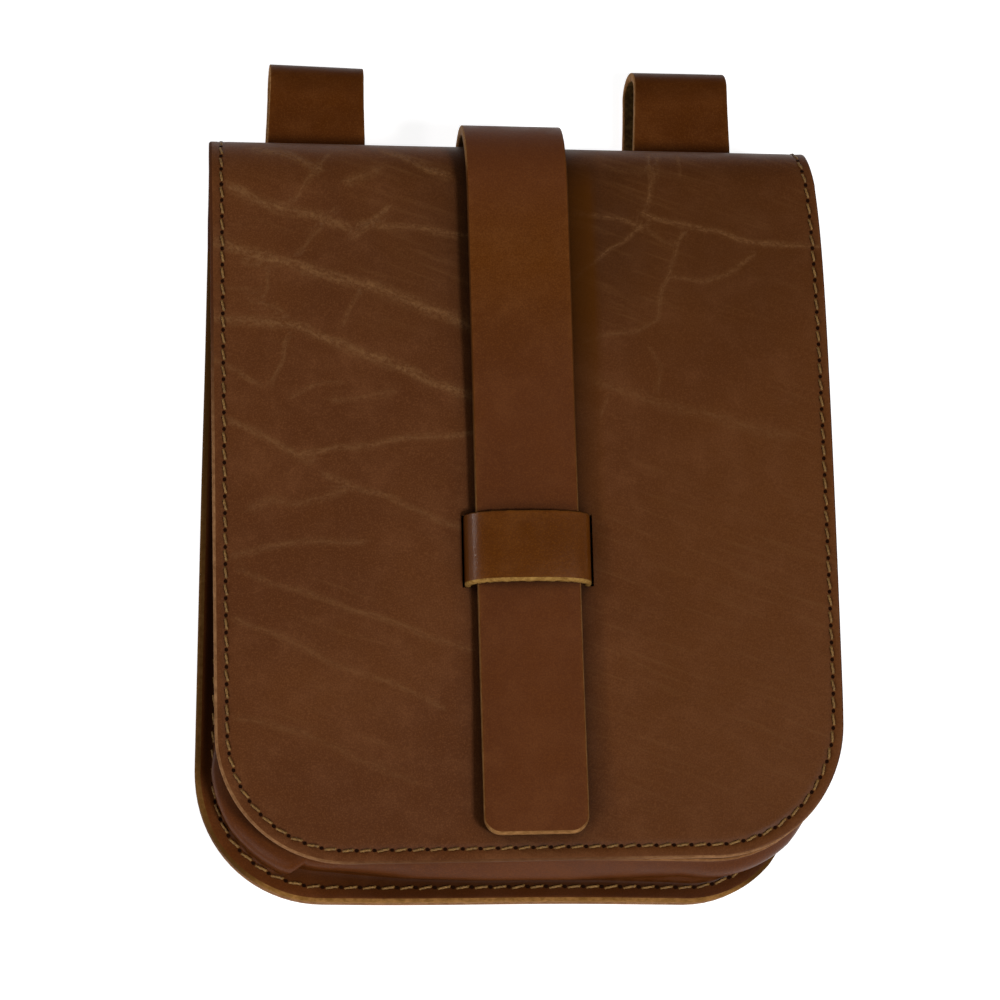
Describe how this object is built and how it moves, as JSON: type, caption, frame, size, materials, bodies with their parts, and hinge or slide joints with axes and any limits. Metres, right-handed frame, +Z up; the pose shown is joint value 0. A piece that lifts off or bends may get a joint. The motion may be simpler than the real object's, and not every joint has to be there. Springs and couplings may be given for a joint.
{
  "type": "leather belt pouch",
  "caption": "Flat leather pouch with a long rounded flap, a closing strap tucked through a keeper, a sewn gusset and belt loops behind its top edge.",
  "frame": {"origin": "on the surface that the pouch lies on, under the middle of its bounding box", "axes": "+X across the pouch to its right as the flap is seen, +Y towards the fold and the belt loops, +Z up out of the flap"},
  "size_m": [0.1842, 0.2564, 0.0425],
  "materials": {
    "flap_leather": "brown grain leather with pale creases and tan cut edges, satin",
    "gusset_leather": "smooth brown leather, soft gloss",
    "strap_leather": "smooth brown strap leather, satin",
    "loop_leather": "smooth dark brown leather, satin",
    "thread": "waxed olive gold thread"
  },
  "bodies": {
    "root": {"back_flap": "flap_leather", "gusset": "gusset_leather", "front_panel": "flap_leather", "strap": "strap_leather", "keeper": "strap_leather", "belt_loop_left": "loop_leather", "belt_loop_right": "loop_leather"}
  },
  "joints": []
}
